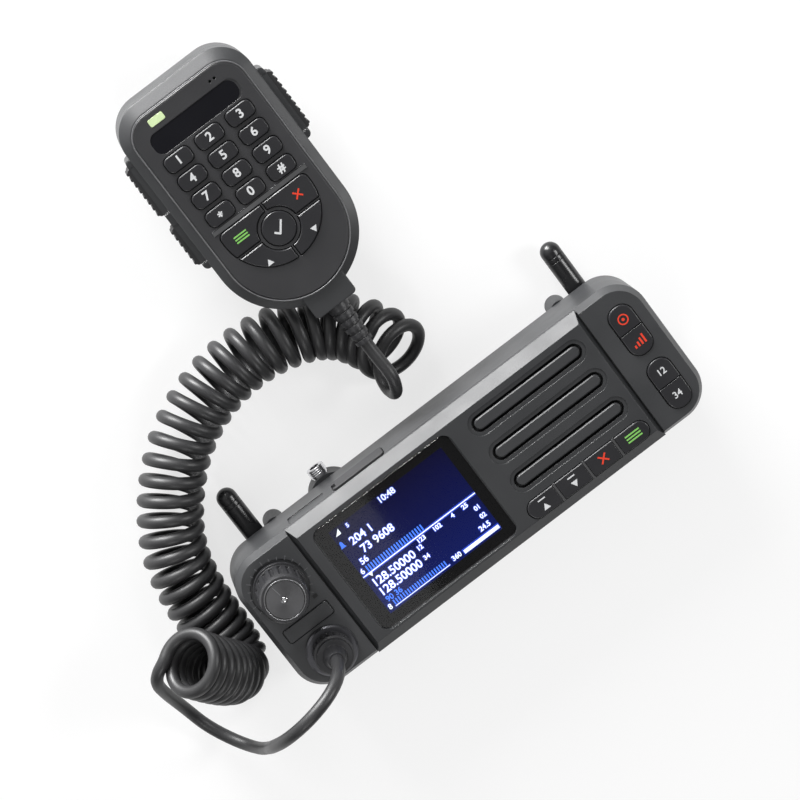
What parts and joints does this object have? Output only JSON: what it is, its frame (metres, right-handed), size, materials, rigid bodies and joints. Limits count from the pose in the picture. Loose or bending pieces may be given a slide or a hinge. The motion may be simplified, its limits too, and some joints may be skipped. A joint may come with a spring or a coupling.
{
  "type": "mobile transceiver",
  "caption": "Radio box with a raised display panel, slotted speaker, tuning knob and stub antennas; a keypad hand microphone hangs from it on a coiled cord.",
  "frame": {"origin": "middle of the radio's flat back, with the microphone laid beside it on its own back", "axes": "+X along the radio towards its paired keys, +Y across the radio towards its antennas and the microphone, +Z out of its face"},
  "size_m": [0.2191, 0.2135, 0.0779],
  "materials": {
    "radio_case": "fine-grained charcoal plastic",
    "panel": "satin charcoal plastic",
    "radio_key": "near-black satin plastic with coloured legends",
    "mic_key": "near-black satin plastic with white digits",
    "divider": "light grey strips",
    "display": null,
    "window": "clear glossy window over a dark border",
    "grille": "charcoal bars over a dark slotted sheet",
    "speaker": "black paper cone and steel magnet",
    "board": "green circuit board",
    "knob": "fluted near-black plastic",
    "cap_metal": "spun metal disc, dark anodised",
    "socket_metal": "dark satin metal",
    "plug": "black ribbed plug",
    "port_cover": "soft black cover",
    "chassis": "black painted die-cast chassis",
    "screw_steel": "blackened steel screws",
    "antenna_black": "glossy black",
    "jack_chrome": "bright nickel-plated screw jacks",
    "inlet": "black inlet with two blades",
    "mic_case": "fine-grained charcoal plastic",
    "mic_plate": "satin charcoal plate with a glossy blank window",
    "bar_chrome": "bright strip",
    "light": "pale green lens",
    "soft_pad": "ribbed black rubber",
    "hanger": "steel hanger button",
    "relief": "ribbed black rubber sleeve",
    "cord": "satin black cord"
  },
  "bodies": {
    "radio": {"antenna_jacks": "jack_chrome", "antenna_left": "antenna_black", "antenna_right": "antenna_black", "case_screws": "screw_steel", "control_board": "board", "cord_coil": "cord", "cord_mic_lead": "cord", "cord_radio_lead": "cord", "front_housing": "radio_case", "front_panel": "panel", "grip_pad": "soft_pad", "hanger_button": "hanger", "key_dividers": "divider", "lcd_module": "display", "main_board": "board", "mic_bar": "bar_chrome", "mic_board": "board", "mic_face_plate": "mic_plate", "mic_front_shell": "mic_case", "mic_rear_shell": "mic_case", "mic_socket": "socket_metal", "plug_body": "plug", "power_inlet": "inlet", "rear_chassis": "chassis", "screen_window": "window", "signal_light": "light", "speaker": "speaker", "speaker_grille": "grille", "strain_relief": "relief"},
    "key_up": {"key_up": "radio_key"},
    "key_down": {"key_down": "radio_key"},
    "key_exit": {"key_exit": "radio_key"},
    "key_menu": {"key_menu": "radio_key"},
    "key_call": {"key_call": "radio_key"},
    "key_network": {"key_network": "radio_key"},
    "key_band": {"key_band": "radio_key"},
    "key_channel": {"key_channel": "radio_key"},
    "mic_key_one": {"mic_key_one": "mic_key"},
    "mic_key_two": {"mic_key_two": "mic_key"},
    "mic_key_three": {"mic_key_three": "mic_key"},
    "mic_key_four": {"mic_key_four": "mic_key"},
    "mic_key_five": {"mic_key_five": "mic_key"},
    "mic_key_six": {"mic_key_six": "mic_key"},
    "mic_key_seven": {"mic_key_seven": "mic_key"},
    "mic_key_eight": {"mic_key_eight": "mic_key"},
    "mic_key_nine": {"mic_key_nine": "mic_key"},
    "mic_key_star": {"mic_key_star": "mic_key"},
    "mic_key_zero": {"mic_key_zero": "mic_key"},
    "mic_key_hash": {"mic_key_hash": "mic_key"},
    "mic_key_menu": {"mic_key_menu": "mic_key"},
    "mic_key_exit": {"mic_key_exit": "mic_key"},
    "mic_key_up": {"mic_key_up": "mic_key"},
    "mic_key_down": {"mic_key_down": "mic_key"},
    "mic_key_ok": {"mic_key_ok": "mic_key"},
    "ptt_button": {"ptt_button": "soft_pad"},
    "side_button": {"side_button": "soft_pad"},
    "knob": {"tuning_knob": "knob", "knob_cap": "cap_metal"},
    "collar": {"plug_collar": "plug"},
    "cover": {"port_cover": "port_cover"}
  },
  "joints": [
    {"name": "key_up_press", "type": "slide", "parent": "radio", "child": "key_up", "axis": [0, 0, -1], "range_m": [0, 0.0007], "stiffness_N_per_m": 900},
    {"name": "key_down_press", "type": "slide", "parent": "radio", "child": "key_down", "axis": [0, 0, -1], "range_m": [0, 0.0007], "stiffness_N_per_m": 900},
    {"name": "key_exit_press", "type": "slide", "parent": "radio", "child": "key_exit", "axis": [0, 0, -1], "range_m": [0, 0.0007], "stiffness_N_per_m": 900},
    {"name": "key_menu_press", "type": "slide", "parent": "radio", "child": "key_menu", "axis": [0, 0, -1], "range_m": [0, 0.0007], "stiffness_N_per_m": 900},
    {"name": "key_call_press", "type": "slide", "parent": "radio", "child": "key_call", "axis": [0, 0, -1], "range_m": [0, 0.0007], "stiffness_N_per_m": 900},
    {"name": "key_network_press", "type": "slide", "parent": "radio", "child": "key_network", "axis": [0, 0, -1], "range_m": [0, 0.0007], "stiffness_N_per_m": 900},
    {"name": "key_band_press", "type": "slide", "parent": "radio", "child": "key_band", "axis": [0, 0, -1], "range_m": [0, 0.0007], "stiffness_N_per_m": 900},
    {"name": "key_channel_press", "type": "slide", "parent": "radio", "child": "key_channel", "axis": [0, 0, -1], "range_m": [0, 0.0007], "stiffness_N_per_m": 900},
    {"name": "mic_key_one_press", "type": "slide", "parent": "radio", "child": "mic_key_one", "axis": [0, 0, -1], "range_m": [0, 0.0007], "stiffness_N_per_m": 900},
    {"name": "mic_key_two_press", "type": "slide", "parent": "radio", "child": "mic_key_two", "axis": [0, 0, -1], "range_m": [0, 0.0007], "stiffness_N_per_m": 900},
    {"name": "mic_key_three_press", "type": "slide", "parent": "radio", "child": "mic_key_three", "axis": [0, 0, -1], "range_m": [0, 0.0007], "stiffness_N_per_m": 900},
    {"name": "mic_key_four_press", "type": "slide", "parent": "radio", "child": "mic_key_four", "axis": [0, 0, -1], "range_m": [0, 0.0007], "stiffness_N_per_m": 900},
    {"name": "mic_key_five_press", "type": "slide", "parent": "radio", "child": "mic_key_five", "axis": [0, 0, -1], "range_m": [0, 0.0007], "stiffness_N_per_m": 900},
    {"name": "mic_key_six_press", "type": "slide", "parent": "radio", "child": "mic_key_six", "axis": [0, 0, -1], "range_m": [0, 0.0007], "stiffness_N_per_m": 900},
    {"name": "mic_key_seven_press", "type": "slide", "parent": "radio", "child": "mic_key_seven", "axis": [0, 0, -1], "range_m": [0, 0.0007], "stiffness_N_per_m": 900},
    {"name": "mic_key_eight_press", "type": "slide", "parent": "radio", "child": "mic_key_eight", "axis": [0, 0, -1], "range_m": [0, 0.0007], "stiffness_N_per_m": 900},
    {"name": "mic_key_nine_press", "type": "slide", "parent": "radio", "child": "mic_key_nine", "axis": [0, 0, -1], "range_m": [0, 0.0007], "stiffness_N_per_m": 900},
    {"name": "mic_key_star_press", "type": "slide", "parent": "radio", "child": "mic_key_star", "axis": [0, 0, -1], "range_m": [0, 0.0007], "stiffness_N_per_m": 900},
    {"name": "mic_key_zero_press", "type": "slide", "parent": "radio", "child": "mic_key_zero", "axis": [0, 0, -1], "range_m": [0, 0.0007], "stiffness_N_per_m": 900},
    {"name": "mic_key_hash_press", "type": "slide", "parent": "radio", "child": "mic_key_hash", "axis": [0, 0, -1], "range_m": [0, 0.0007], "stiffness_N_per_m": 900},
    {"name": "mic_key_menu_press", "type": "slide", "parent": "radio", "child": "mic_key_menu", "axis": [0, 0, -1], "range_m": [0, 0.0007], "stiffness_N_per_m": 900},
    {"name": "mic_key_exit_press", "type": "slide", "parent": "radio", "child": "mic_key_exit", "axis": [0, 0, -1], "range_m": [0, 0.0007], "stiffness_N_per_m": 900},
    {"name": "mic_key_up_press", "type": "slide", "parent": "radio", "child": "mic_key_up", "axis": [0, 0, -1], "range_m": [0, 0.0007], "stiffness_N_per_m": 900},
    {"name": "mic_key_down_press", "type": "slide", "parent": "radio", "child": "mic_key_down", "axis": [0, 0, -1], "range_m": [0, 0.0007], "stiffness_N_per_m": 900},
    {"name": "mic_key_ok_press", "type": "slide", "parent": "radio", "child": "mic_key_ok", "axis": [0, 0, -1], "range_m": [0, 0.0007], "stiffness_N_per_m": 900},
    {"name": "ptt_button_press", "type": "slide", "parent": "radio", "child": "ptt_button", "axis": [1, 0, 0], "range_m": [0, 0.0008], "stiffness_N_per_m": 900},
    {"name": "side_button_press", "type": "slide", "parent": "radio", "child": "side_button", "axis": [1, 0, 0], "range_m": [0, 0.0008], "stiffness_N_per_m": 900},
    {"name": "knob_turn", "type": "hinge", "parent": "radio", "child": "knob", "pos_m": [-0.074, 0.0126, 0.04], "axis": [0, 0, 1], "continuous": true},
    {"name": "collar_turn", "type": "hinge", "parent": "radio", "child": "collar", "pos_m": [-0.073, -0.0163, 0.043], "axis": [0, 0, 1], "continuous": true},
    {"name": "cover_swing", "type": "hinge", "parent": "radio", "child": "cover", "pos_m": [-0.0169, 0.02835, 0.03], "axis": [0, 0, -1], "range_deg": [0, 100]}
  ]
}
